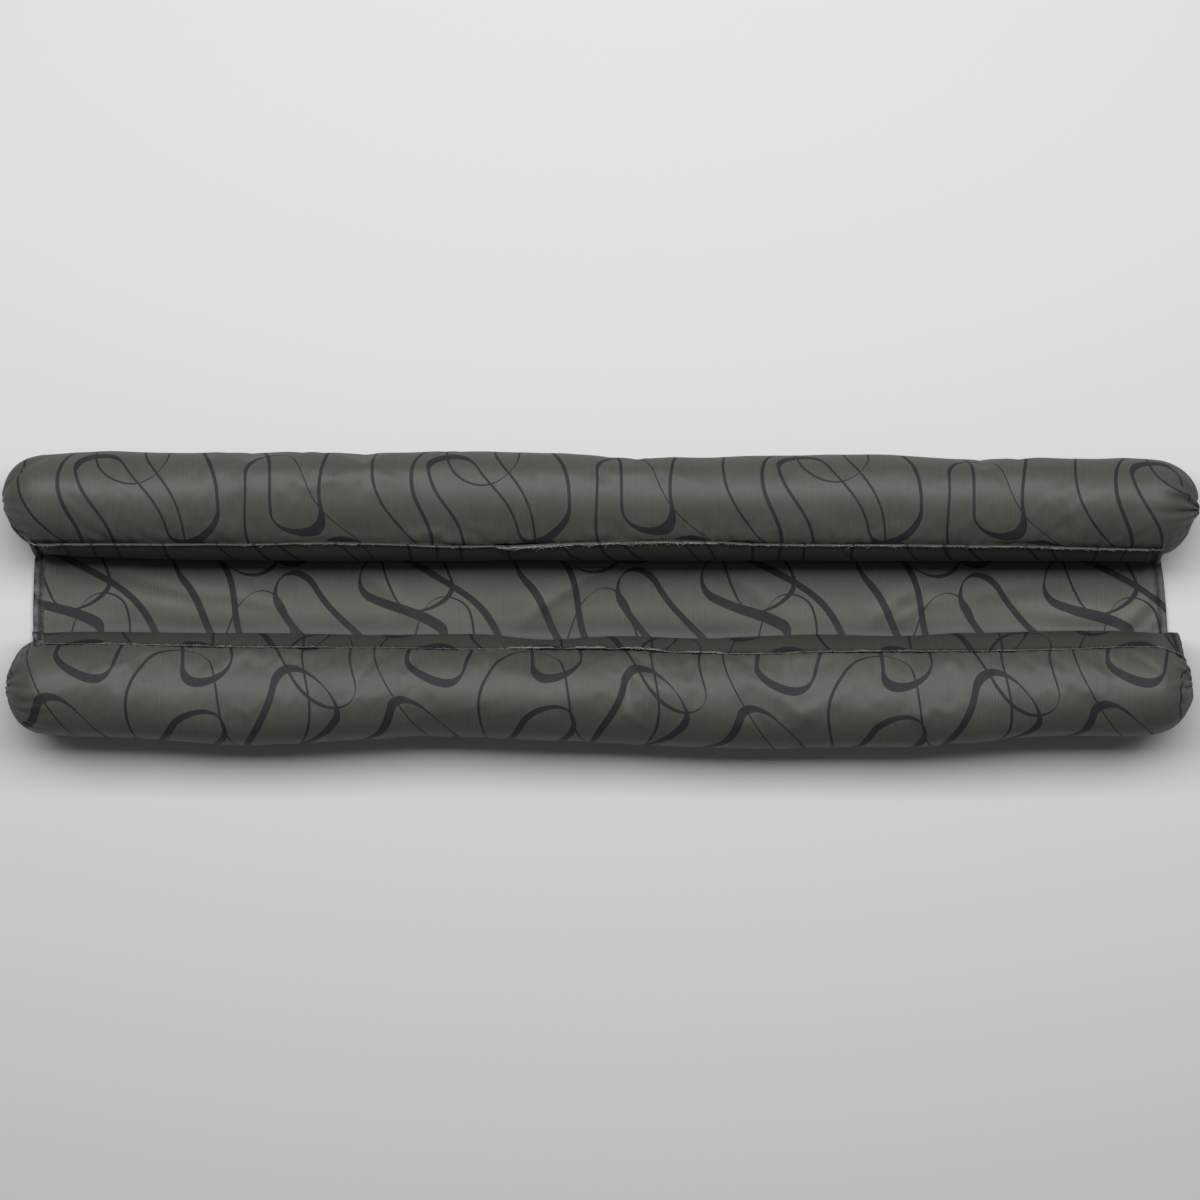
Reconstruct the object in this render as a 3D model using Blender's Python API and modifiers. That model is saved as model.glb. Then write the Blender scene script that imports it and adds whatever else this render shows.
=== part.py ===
"""Double draught excluder: two filled cloth rolls, joined by a panel that goes under a door.

Metres, +Z up, standing on the floor at Z 0. The rolls run along X. The back roll is on the
+Y side, the front roll on the -Y side, and the origin is on the floor under the middle.
"""
import math
from collections import namedtuple

import bmesh
import bpy
from mathutils import Vector

# The rolls: fibre-filled tubes of satin, lying on the floor.
ROLL_GIRTH = 0.2455           # cloth round one roll
FLOOR_SINK = 0.0026           # how far the filling settles, which makes the flat underneath
FLOOR_EASE = 0.0008           # height over which the cloth turns up from that flat
CREST_LEAN = 0.0065           # how far the panel's pull moves a roll's crest outwards
END_LENGTH = 0.032            # length over which a drawn-in end closes
END_SQUARENESS = 2.3          # 2 is a half ellipse, more is blunter
PLEAT_REACH = 0.040           # how far the pleats of a drawn-in end run along the roll
PLEAT_DEPTH = 0.15            # of the section's size, at the pleats' deepest

# The seam that closes each tube takes in the panel's edge too, and stands up as a low ridge.
SEAM_HEIGHT = 0.0014
SEAM_HALF_WIDTH = 0.0026

# The panel between the rolls: one sheet with a turned hem at each short end.
SHEET_THICK = 0.0015
HEM_THICK = 0.0024
HEM_WIDTH = 0.0080
HEM_STEP = 0.0006             # length over which the hem's edge steps down to the single cloth
PANEL_GAP = 0.0008            # air between the panel and the roll that it lies on
PANEL_LEAVES_ROLL = math.radians(100)   # turn from the roll's top where the panel hangs free
PANEL_HANG = 0.014            # how strongly it keeps hanging before it bends to the floor
FLOOR_REACH = 0.006           # from the roll's side to where the panel lies flat
FLOOR_BEND = 0.010            # how strongly it runs under the roll's side before that

# Steps of the meshes.
LEAN_ROUNDS = 12              # rounds in which the seam is found on a leaning section
STEPS_ROUND = 36
STEPS_ALONG = 38
STEPS_END = 8
HEM_COLUMNS = 3
STEPS_BY_HEM = 4
STEPS_ON_ROLL = 6
STEPS_DROP = 7
STEPS_FLOOR = 8

SATIN_GREEN = (0.0480, 0.0515, 0.0420, 1.0)
SATIN_ROUGHNESS = 0.49

# Distances from the middle line at each X: the roll's outer side, the panel's face on the
# roll's inner side, and the seam.
Section = namedtuple("Section", "x outer inner seam")
# A drawn-in end: where its tip is, how far the tip lies off the section's middle, sideways
# and upwards, and the number and turn of its pleats.
End = namedtuple("End", "x aside up pleats turn")
# side is +1 for the back roll and -1 for the front one.
Roll = namedtuple("Roll", "name side sections left right")
# A soft fold in the panel where it lies on the floor.
Fold = namedtuple("Fold", "x y angle length width height")

BACK = Roll(
    name="roll_back",
    side=1,
    sections=[
        Section(-0.425, 0.1086, 0.0345, 0.0410),
        Section(-0.375, 0.1101, 0.0320, 0.0412),
        Section(-0.322, 0.1086, 0.0304, 0.0412),
        Section(-0.288, 0.1101, 0.0300, 0.0410),
        Section(-0.264, 0.1088, 0.0299, 0.0410),
        Section(-0.210, 0.1110, 0.0297, 0.0424),
        Section(-0.172, 0.1093, 0.0297, 0.0418),
        Section(-0.105, 0.1120, 0.0290, 0.0388),
        Section(-0.068, 0.1094, 0.0304, 0.0402),
        Section(-0.030, 0.1086, 0.0297, 0.0424),
        Section(0.031, 0.1058, 0.0297, 0.0436),
        Section(0.049, 0.1070, 0.0295, 0.0440),
        Section(0.076, 0.1056, 0.0299, 0.0440),
        Section(0.120, 0.1077, 0.0297, 0.0412),
        Section(0.210, 0.1078, 0.0294, 0.0409),
        Section(0.286, 0.1041, 0.0297, 0.0406),
        Section(0.316, 0.1062, 0.0297, 0.0402),
        Section(0.361, 0.1040, 0.0297, 0.0388),
        Section(0.400, 0.1056, 0.0289, 0.0376),
        Section(0.425, 0.1050, 0.0286, 0.0372),
    ],
    left=End(-0.450, 0.0050, -0.003, 9, 0.4),
    right=End(0.450, 0.0090, -0.004, 10, 1.3),
)
FRONT = Roll(
    name="roll_front",
    side=-1,
    sections=[
        Section(-0.420, 0.1002, 0.0245, 0.0318),
        Section(-0.390, 0.1010, 0.0237, 0.0320),
        Section(-0.345, 0.1018, 0.0238, 0.0326),
        Section(-0.315, 0.1056, 0.0242, 0.0332),
        Section(-0.270, 0.1078, 0.0244, 0.0342),
        Section(-0.165, 0.1071, 0.0256, 0.0344),
        Section(-0.088, 0.1064, 0.0252, 0.0362),
        Section(-0.044, 0.1094, 0.0293, 0.0352),
        Section(0.018, 0.1110, 0.0267, 0.0354),
        Section(0.072, 0.1116, 0.0289, 0.0388),
        Section(0.120, 0.1120, 0.0274, 0.0394),
        Section(0.165, 0.1100, 0.0256, 0.0378),
        Section(0.232, 0.1094, 0.0270, 0.0372),
        Section(0.270, 0.1060, 0.0246, 0.0374),
        Section(0.345, 0.0996, 0.0232, 0.0366),
        Section(0.391, 0.1010, 0.0231, 0.0340),
        Section(0.425, 0.1003, 0.0245, 0.0366),
    ],
    left=End(-0.448, -0.0030, -0.005, 9, 2.0),
    right=End(0.4465, -0.0010, -0.003, 8, 0.2),
)

# Ends of the panel, on the floor and at each seam.
PANEL_LEFT = {"floor": -0.4335, "back": -0.4265, "front": -0.4290}
PANEL_RIGHT = {"floor": 0.4310, "back": 0.4230, "front": 0.4390}
SEAM_RISE = 0.062             # height at which those two ends are reached
PANEL_STRAIGHT = 0.400        # the panel's columns of points are square to X as far as here

FOLDS = [
    Fold(-0.020, 0.008, 0.42, 0.120, 0.0180, 0.0020),
    Fold(0.232, -0.004, 0.50, 0.115, 0.0170, 0.0016),
    Fold(0.372, -0.014, -0.10, 0.130, 0.0190, 0.0026),
    Fold(-0.330, -0.006, -0.16, 0.150, 0.0190, 0.0016),
]


def eased(share):
    return share * share * (3 - 2 * share)


def at(roll, x, column):
    """A column's value at x, which eases from each row to the next."""
    rows = roll.sections
    if x <= rows[0].x:
        return getattr(rows[0], column)
    for before, after in zip(rows, rows[1:]):
        if x <= after.x:
            share = eased((x - before.x) / (after.x - before.x))
            return (1 - share) * getattr(before, column) + share * getattr(after, column)
    return getattr(rows[-1], column)


def section(roll, x):
    """Middle, half width and half height of a roll at x. The cloth's girth sets the height."""
    outer = at(roll, x, "outer")
    inner = at(roll, x, "inner") + SHEET_THICK + PANEL_GAP
    half_width = (outer - inner) / 2
    mean_square = (ROLL_GIRTH / math.tau) ** 2
    return (outer + inner) / 2, half_width, math.sqrt(2 * mean_square - half_width**2)


def closing(distance):
    """The share of the section that is left at a distance from the tip of a drawn-in end."""
    left = max(0.0, 1 - distance / END_LENGTH)
    return (1 - left**END_SQUARENESS) ** (1 / END_SQUARENESS)


def pleated(end, distance, turn):
    """How far the pleats of a drawn-in end pull the cloth in: 1 is not at all."""
    fade = max(0.0, 1 - distance / PLEAT_REACH) ** 2
    wave = math.cos(end.pleats * turn + 0.8 * math.sin(2 * turn + end.turn))
    return 1 - PLEAT_DEPTH * fade * (0.5 - 0.5 * wave)


def above_floor(z):
    """Cloth that would be below the floor lies flat on it."""
    if z >= FLOOR_EASE:
        return z
    if z <= -FLOOR_EASE:
        return 0.0
    return (z + FLOOR_EASE) ** 2 / (4 * FLOOR_EASE)


def lean(turn):
    """How far a section's upper half lies outwards of a plain oval."""
    return CREST_LEAN * max(0.0, math.cos(turn)) ** 2


def roll_point(roll, x, turn, outward=0.0, pleats=True):
    """A point of the roll's cloth. turn runs from its top towards the panel and on round."""
    middle, half_width, half_height = section(roll, x)
    end = roll.left if x < 0 else roll.right
    distance = max(0.0, abs(end.x) - abs(x))
    share = closing(distance)
    pull = share * pleated(end, distance, turn) if pleats else share
    across = (half_width * pull + outward) * math.sin(turn)
    up = (half_height * pull + outward) * math.cos(turn)
    y = middle + (1 - share) * end.aside - across + share * lean(turn)
    z = half_height - FLOOR_SINK + (1 - share) * end.up + up
    return Vector((x, roll.side * y, above_floor(z)))


def seam_turn(roll, x):
    """The turn from the roll's top at which the seam runs."""
    middle, half_width, _ = section(roll, x)
    turn = 0.0
    for _ in range(LEAN_ROUNDS):
        inwards = middle + lean(turn) - at(roll, x, "seam")
        turn = math.asin(min(1.0, inwards / half_width))
    return turn


def along(first, last, steps):
    return [first + (last - first) * i / steps for i in range(steps + 1)]


MIDDLE_STATIONS = along(-0.450 + END_LENGTH, 0.450 - END_LENGTH, STEPS_ALONG)


def roll_stations(roll):
    """The X of each ring of a roll, close together where an end closes."""
    quarter = along(0.0, math.pi / 2, STEPS_END)[:-1]
    close = [END_LENGTH * (1 - math.cos(angle)) for angle in quarter]
    left = [roll.left.x + step for step in close]
    right = [roll.right.x - step for step in close]
    return left + MIDDLE_STATIONS + right[::-1]


def ring_turns(roll, x):
    """Turns round a section, from the seam round to the seam, with a step each side of it."""
    start = seam_turn(roll, x)
    beside = SEAM_HALF_WIDTH / section(roll, x)[1]
    steps = along(beside, math.tau - beside, STEPS_ROUND - 2)
    return [start] + [start + step for step in steps] + [start + math.tau]


def new_object(name, mesh, collection):
    material = bpy.data.materials.new(name + "_satin")
    material.use_nodes = True
    shader = material.node_tree.nodes["Principled BSDF"]
    shader.inputs["Base Color"].default_value = SATIN_GREEN
    shader.inputs["Roughness"].default_value = SATIN_ROUGHNESS
    shader.inputs["Metallic"].default_value = 0.0
    mesh.materials.append(material)
    made = bpy.data.objects.new(name, mesh)
    collection.objects.link(made)
    return made


def grid_mesh(name, columns, rows, place):
    """A flat grid of cloth whose vertex (column, row) is moved to place(column, row)."""
    cloth = bmesh.new()
    bmesh.ops.create_grid(cloth, x_segments=columns, y_segments=rows, size=1.0)
    for vertex in cloth.verts:
        column = round((vertex.co.x + 1) / 2 * columns)
        row = round((vertex.co.y + 1) / 2 * rows)
        vertex.co = place(column, row)
        vertex.index = row * (columns + 1) + column
    cloth.verts.sort()
    return cloth


def make_roll(roll, collection):
    """A grid wrapped round the filling, welded along the seam and drawn in at its ends."""
    stations = roll_stations(roll)

    def place(column, row):
        x = stations[column]
        turn = ring_turns(roll, x)[row]
        on_seam = row in (0, STEPS_ROUND)
        inside = min(abs(roll.left.x - x), abs(roll.right.x - x))
        ridge = SEAM_HEIGHT * min(1.0, inside / END_LENGTH) if on_seam else 0.0
        return roll_point(roll, x, turn, outward=ridge)

    cloth = grid_mesh(roll.name, len(stations) - 1, STEPS_ROUND, place)
    bmesh.ops.remove_doubles(cloth, verts=cloth.verts, dist=0.00001)
    bmesh.ops.recalc_face_normals(cloth, faces=cloth.faces)
    mesh = bpy.data.meshes.new(roll.name)
    cloth.to_mesh(mesh)
    cloth.free()
    mesh.shade_smooth()
    return new_object(roll.name, mesh, collection)


def bezier(points, share):
    """A point of the cubic curve with these four control points."""
    weights = (
        (1 - share) ** 3,
        3 * share * (1 - share) ** 2,
        3 * share**2 * (1 - share),
        share**3,
    )
    total = Vector((0.0, 0.0, 0.0))
    for weight, point in zip(weights, points):
        total += weight * point
    return total


def fold_height(x, y):
    """How far the folds lift the panel off the floor."""
    lift = 0.0
    for fold in FOLDS:
        along_fold = (x - fold.x) * math.cos(fold.angle) + (y - fold.y) * math.sin(fold.angle)
        across_fold = (y - fold.y) * math.cos(fold.angle) - (x - fold.x) * math.sin(fold.angle)
        outwards = (2 * along_fold / fold.length) ** 2 + (2 * across_fold / fold.width) ** 2
        lift += fold.height * max(0.0, 1 - outwards) ** 2
    return lift


def half_panel(roll, x):
    """The panel's underside from a roll's seam down to the floor, at x."""
    start = seam_turn(roll, x) + 1.3 * SEAM_HALF_WIDTH / section(roll, x)[1]
    turns = along(min(start, PANEL_LEAVES_ROLL - 0.2), PANEL_LEAVES_ROLL, STEPS_ON_ROLL)
    on_roll = [roll_point(roll, x, turn, PANEL_GAP, pleats=False) for turn in turns]
    leaves = on_roll[-1]
    heading = (roll_point(roll, x, turns[-1] + 0.02, PANEL_GAP, pleats=False) - leaves).normalized()
    side_of_roll = roll_point(roll, x, math.pi / 2, PANEL_GAP, pleats=False).y
    lands = Vector((x, side_of_roll - roll.side * FLOOR_REACH, 0.0))
    controls = (
        leaves,
        leaves + heading * PANEL_HANG,
        lands + Vector((0.0, roll.side * FLOOR_BEND, 0.0)),
        lands,
    )
    drop = [bezier(controls, share) for share in along(0.0, 1.0, STEPS_DROP)[1:]]
    return on_roll + drop


def panel_section(x):
    """The panel's underside from the back seam, across the floor, to the front seam, at x."""
    back = half_panel(BACK, x)
    front = half_panel(FRONT, x)
    floor = [back[-1].lerp(front[-1], share) for share in along(0.0, 1.0, STEPS_FLOOR)[1:-1]]
    for point in floor:
        point.z = fold_height(point.x, point.y)
    return back + floor + front[::-1]


def panel_end(ends, point):
    """The X of the panel's end edge at a point of its section, on the floor or up at a seam."""
    seam = ends["back"] if point.y > 0 else ends["front"]
    share = min(1.0, point.z / SEAM_RISE)
    return (1 - share) * ends["floor"] + share * seam


def end_columns(ends, row, last_inside):
    """The X of a row's points at one end: over the hem, then on to the last straight station."""
    inwards = -math.copysign(1.0, last_inside)
    edge = panel_end(ends, panel_section(ends["floor"])[row])
    hem = [edge + inwards * step for step in along(0.0, HEM_WIDTH, HEM_COLUMNS - 1)]
    beside = hem[-1] + inwards * HEM_STEP
    return hem + along(beside, last_inside, STEPS_BY_HEM)[:-1]


def make_panel(collection):
    """A grid over the section's points, given its thickness afterwards, more at the hems."""
    inside = [x for x in MIDDLE_STATIONS if abs(x) < PANEL_STRAIGHT]
    rows = len(panel_section(0.0)) - 1
    stations = [
        end_columns(PANEL_LEFT, row, inside[0])
        + inside
        + end_columns(PANEL_RIGHT, row, inside[-1])[::-1]
        for row in range(rows + 1)
    ]
    columns = len(stations[0]) - 1

    def place(column, row):
        return panel_section(stations[row][column])[row]

    cloth = grid_mesh("door_panel", columns, rows, place)
    bmesh.ops.recalc_face_normals(cloth, faces=cloth.faces)
    if sum(face.normal.z for face in cloth.faces) < 0:
        bmesh.ops.reverse_faces(cloth, faces=cloth.faces)
    hem = [
        row * (columns + 1) + column
        for row in range(rows + 1)
        for column in (*range(HEM_COLUMNS), *range(columns + 1 - HEM_COLUMNS, columns + 1))
    ]
    mesh = bpy.data.meshes.new("door_panel")
    cloth.to_mesh(mesh)
    cloth.free()
    mesh.shade_smooth()
    panel = new_object("door_panel", mesh, collection)
    layers = panel.vertex_groups.new(name="hem")
    layers.add(hem, 1.0, "REPLACE")
    thicken = panel.modifiers.new("Thickness", "SOLIDIFY")
    thicken.thickness = HEM_THICK
    thicken.offset = 1.0
    thicken.vertex_group = layers.name
    thicken.thickness_vertex_group = SHEET_THICK / HEM_THICK
    thicken.use_even_offset = False
    return panel


def main():
    for old in list(bpy.data.objects):
        bpy.data.objects.remove(old)
    collection = bpy.data.collections.new("draught_excluder")
    bpy.context.scene.collection.children.link(collection)
    make_roll(BACK, collection)
    make_roll(FRONT, collection)
    make_panel(collection)


main()
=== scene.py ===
"""Looks of a double draught excluder: two filled satin rolls and the cloth panel that joins them.

Metres, +Z up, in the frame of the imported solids. The rolls run along X, the back one on the
+Y side. Each section below makes one piece of the object, in the order in which it is sewn.
"""
import math
from collections import namedtuple

import bmesh
import bpy
import numpy as np
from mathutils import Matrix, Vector, noise
from mathutils.bvhtree import BVHTree


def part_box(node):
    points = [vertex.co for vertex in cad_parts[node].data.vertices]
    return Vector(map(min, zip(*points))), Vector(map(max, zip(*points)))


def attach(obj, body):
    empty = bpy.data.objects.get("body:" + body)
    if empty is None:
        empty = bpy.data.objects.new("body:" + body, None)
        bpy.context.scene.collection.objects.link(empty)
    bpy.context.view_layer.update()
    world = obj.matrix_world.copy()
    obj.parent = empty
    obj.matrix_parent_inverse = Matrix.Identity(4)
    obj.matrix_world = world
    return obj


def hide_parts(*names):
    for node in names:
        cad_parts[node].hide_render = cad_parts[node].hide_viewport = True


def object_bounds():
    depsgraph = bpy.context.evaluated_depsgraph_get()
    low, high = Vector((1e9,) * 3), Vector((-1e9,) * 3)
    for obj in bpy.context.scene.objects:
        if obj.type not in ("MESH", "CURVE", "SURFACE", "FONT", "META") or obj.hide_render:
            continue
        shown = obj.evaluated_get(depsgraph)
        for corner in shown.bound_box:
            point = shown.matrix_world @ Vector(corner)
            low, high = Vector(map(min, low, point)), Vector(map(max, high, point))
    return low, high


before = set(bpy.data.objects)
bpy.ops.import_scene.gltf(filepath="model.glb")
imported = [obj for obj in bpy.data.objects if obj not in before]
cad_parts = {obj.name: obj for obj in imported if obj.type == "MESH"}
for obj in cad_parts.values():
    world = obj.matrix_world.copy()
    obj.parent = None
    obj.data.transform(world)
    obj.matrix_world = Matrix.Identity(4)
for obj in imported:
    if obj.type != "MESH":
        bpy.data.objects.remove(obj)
solid_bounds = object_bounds()


# The satin: polyester, woven with fine ribs that run across the rolls, and printed all over with
# dark strokes as from a broad pen. The same length of cloth is used for the rolls and the panel.
SATIN_GREEN = (0.0480, 0.0515, 0.0420)
SATIN_GLOSS = 0.30            # specular level
SATIN_ROUGHNESS = 0.49
INK = (0.0120, 0.0102, 0.0125)
INK_ROUGHNESS = 0.66
INK_EDGE = 0.00035            # width over which a stroke's edge fades
# Painted light and shade on the panel: its colour is made darker on the rolls' sides, where it is
# in shade, and paler where it lies flat and faces the lamp. Below: those two shares, where it is
# painted lit, and the fade between.
PANEL_PAINTED_LIGHT = (0.76, 1.32)    # of the panel on the rolls' sides, and where it lies flat
PANEL_FLAT = (0.054, 0.113)   # it lies flat from here to here, measured from its back edge
PANEL_FADE = 0.012            # over which the one tone turns into the other
REVERSE = (0.0560, 0.0520, 0.0580)
REVERSE_DULL = 0.22           # how much rougher the reverse is
RIB_PITCH = 0.0021
RIB_WANDER = 9.0              # by how many radians the ribs run out of step
RIB_TONE, RIBBED_TONE = 0.02, 0.10    # how strongly they show everywhere, and where most ribbed
CLOUDS, STREAKS, RIPPLES, PATCHES = 22.0, 420.0, 60.0, 95.0    # of unevenness, to a metre
WEAVE_BUMP = 0.00010
PRINT_REPEAT = (0.262, 0.238)
PEN_THINNING = 1.6            # the larger, the sooner a stroke thins towards the nib's angle
# A stroke is a line drawn taut round a row of pegs, from one repeat of the print to the next. A
# wavy drift of the whole print loosens it. nib is the angle of the pen: thin along it, and thick
# across it.
Peg = namedtuple("Peg", "x y radius turn")
Stroke = namedtuple("Stroke", "nib thin thick pegs")
Wave = namedtuple("Wave", "along height across_turns up_turns start")
STROKES = [
    Stroke(1.25, 0.0020, 0.0078, [
        Peg(0.020, 0.096, 0.020, -1), Peg(0.062, 0.034, 0.019, 1), Peg(0.108, 0.104, 0.021, -1),
        Peg(0.146, 0.044, 0.018, 1), Peg(0.196, 0.092, 0.022, -1), Peg(0.240, 0.024, 0.020, 1),
    ]),
    Stroke(2.05, 0.0016, 0.0066, [
        Peg(0.050, 0.208, 0.021, -1), Peg(0.040, 0.140, 0.017, 1), Peg(0.128, 0.222, 0.023, -1),
        Peg(0.122, 0.150, 0.018, 1), Peg(0.210, 0.202, 0.020, -1), Peg(0.190, 0.134, 0.018, 1),
    ]),
    Stroke(0.80, 0.0009, 0.0036, [
        Peg(0.078, 0.120, 0.024, -1), Peg(0.150, 0.006, 0.026, 1), Peg(0.216, 0.150, 0.022, -1),
        Peg(0.262, 0.066, 0.020, 1),
    ]),
    Stroke(2.62, 0.0009, 0.0022, [
        Peg(0.040, 0.262, 0.024, -1), Peg(0.096, 0.176, 0.022, 1), Peg(0.170, 0.268, 0.026, -1),
        Peg(0.226, 0.186, 0.020, 1),
    ]),
]
DRIFT = [
    Wave("x", 0.011, 0, 1, 0.6),
    Wave("y", 0.011, 1, 0, 1.1),
    Wave("x", 0.0055, 1, 2, 2.2),
    Wave("y", 0.0050, 2, -1, 0.4),
]


class Thread:
    """A value in a material's nodes. Sums, products and the like of such values add Math nodes."""

    def __init__(self, tree, socket):
        self.tree = tree
        self.socket = socket

    def make(self, kind, settings=None, values=None, output=0):
        """Any node: its type, its settings, and the values or links of its sockets."""
        node = self.tree.nodes.new(kind)
        for name, setting in (settings or {}).items():
            setattr(node, name, setting)
        for name, value in (values or {}).items():
            if isinstance(value, Thread):
                self.tree.links.new(value.socket, node.inputs[name])
            else:
                node.inputs[name].default_value = value
        return Thread(self.tree, node.outputs[output])

    def math(self, operation, *values, clamp=False):
        settings = {"operation": operation, "use_clamp": clamp}
        return self.make("ShaderNodeMath", settings, dict(enumerate(values)))

    def vector(self, operation, *values, output=0):
        return self.make("ShaderNodeVectorMath", {"operation": operation},
                         dict(enumerate(values)), output)

    def mix(self, share, first, second):
        return self.make("ShaderNodeMix", {"data_type": "RGBA"},
                         {0: share, 6: first, 7: second}, 2)

    def noise(self, place, lumps, detail):
        """Unevenness of this many lumps to a metre."""
        return self.make("ShaderNodeTexNoise", {}, {
            "Vector": place, "Scale": lumps, "Detail": detail})

    def shaded(self, colour, shade):
        """A colour made paler or darker by a value."""
        plain = self.make("ShaderNodeRGB")
        plain.socket.default_value = (*colour, 1.0)
        return self.make("ShaderNodeVectorMath", {"operation": "SCALE"}, {0: plain, "Scale": shade})

    def __add__(self, other):
        return self.math("ADD", self, other)

    def __sub__(self, other):
        return self.math("SUBTRACT", self, other)

    def __mul__(self, other):
        return self.math("MULTIPLY", self, other)

    def __truediv__(self, other):
        return self.math("DIVIDE", self, other)

    def __pow__(self, other):
        return self.math("POWER", self, other)

    def __radd__(self, other):
        return self.math("ADD", other, self)

    def __rsub__(self, other):
        return self.math("SUBTRACT", other, self)

    def __rmul__(self, other):
        return self.math("MULTIPLY", other, self)

    def __abs__(self):
        return self.math("ABSOLUTE", self)

    def __lt__(self, other):
        return self.math("LESS_THAN", self, other)


def tangent_line(first, second):
    """The taut line from one peg to the next: its two ends and its heading."""
    away = Vector((second.x - first.x, second.y - first.y))
    offset = second.turn * second.radius - first.turn * first.radius
    heading = math.atan2(away.y, away.x) - math.asin(offset / away.length)
    left = Vector((-math.sin(heading), math.cos(heading)))
    start = Vector((first.x, first.y)) - left * first.turn * first.radius
    end = Vector((second.x, second.y)) - left * second.turn * second.radius
    return start, end, heading


def pen_width(stroke, heading):
    """The pen's width where the line has this heading, a number or a value in the nodes."""
    if isinstance(heading, Thread):
        across = abs(heading.math("SINE", heading - stroke.nib))
    else:
        across = abs(math.sin(heading - stroke.nib))
    return stroke.thin + (stroke.thick - stroke.thin) * across**PEN_THINNING


def nearest_repeat(place, middle):
    """The place as seen from the nearest repeat of a middle point."""
    half = (PRINT_REPEAT[0] / 2, PRINT_REPEAT[1] / 2, 1.0)
    seen = place.vector("SUBTRACT", place, (middle[0], middle[1], 0.0))
    return place.vector("WRAP", seen, half, tuple(-size for size in half))


def inked(distance, width):
    """1 inside a line of this width, 0 outside."""
    return distance.math("DIVIDE", width / 2 - distance, INK_EDGE, clamp=True)


def arc_ink(place, stroke, peg, arrives, leaves):
    """The ink of the line's turn round a peg."""
    sweep = (peg.turn * (leaves - arrives)) % math.tau
    middle = arrives - peg.turn * math.pi / 2 + peg.turn * sweep / 2
    seen = nearest_repeat(place, (peg.x, peg.y))
    reach = seen.vector("LENGTH", seen, output=1)
    parts = seen.make("ShaderNodeSeparateXYZ", {}, {0: seen})
    up = Thread(seen.tree, parts.socket.node.outputs[1])
    angle = parts.math("ARCTAN2", up, parts)
    turned = abs(angle.math("WRAP", angle - middle, math.pi, -math.pi))
    return (turned < sweep / 2) * inked(
        abs(reach - peg.radius), pen_width(stroke, angle + math.pi / 2))


def line_ink(place, stroke, start, end, heading):
    """The ink of a taut line between two pegs."""
    seen = nearest_repeat(place, (start + end) / 2)
    direction = (math.cos(heading), math.sin(heading), 0.0)
    left = (-math.sin(heading), math.cos(heading), 0.0)
    along = abs(seen.vector("DOT_PRODUCT", seen, direction, output=1))
    across = abs(seen.vector("DOT_PRODUCT", seen, left, output=1))
    return (along < (end - start).length / 2) * inked(across, pen_width(stroke, heading))


def drifted(place):
    """The place moved by the wavy drift of the print."""
    shift = {"x": 0.0, "y": 0.0}
    for wave in DRIFT:
        turns = (
            math.tau * wave.across_turns / PRINT_REPEAT[0],
            math.tau * wave.up_turns / PRINT_REPEAT[1],
            0.0,
        )
        phase = place.vector("DOT_PRODUCT", place, turns, output=1) + wave.start
        shift[wave.along] = phase.math("SINE", phase) * wave.height + shift[wave.along]
    moved = place.make("ShaderNodeCombineXYZ", {}, {0: shift["x"], 1: shift["y"]})
    return place.vector("ADD", place, moved)


def print_ink(cloth, corner):
    """1 where the print is, on cloth whose own corner lies at a corner of the printed length."""
    place = drifted(cloth.vector("ADD", cloth, (corner[0], corner[1], 0.0)))
    inks = []
    for stroke in STROKES:
        first = stroke.pegs[0]
        row = stroke.pegs + [first._replace(x=first.x + PRINT_REPEAT[0])]
        lines = [tangent_line(*pair) for pair in zip(row, row[1:])]
        for number, peg in enumerate(stroke.pegs):
            arrives, leaves = lines[number - 1][2], lines[number][2]
            inks.append(arc_ink(place, stroke, peg, arrives, leaves))
            inks.append(line_ink(place, stroke, *lines[number]))
    total = inks[0]
    for ink in inks[1:]:
        total = total.math("MAXIMUM", total, ink)
    return total


def new_material(name, specular=0.5):
    """A material with one Principled shader, and the means to add to its nodes."""
    material = bpy.data.materials.new(name)
    material.use_nodes = True
    shader = material.node_tree.nodes["Principled BSDF"]
    shader.inputs["Specular IOR Level"].default_value = specular
    return material, shader, Thread(material.node_tree, None)


def feed(shader, values):
    """Links values to the shader's sockets."""
    for name, value in values.items():
        value.tree.links.new(value.socket, shader.inputs[name])


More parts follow.
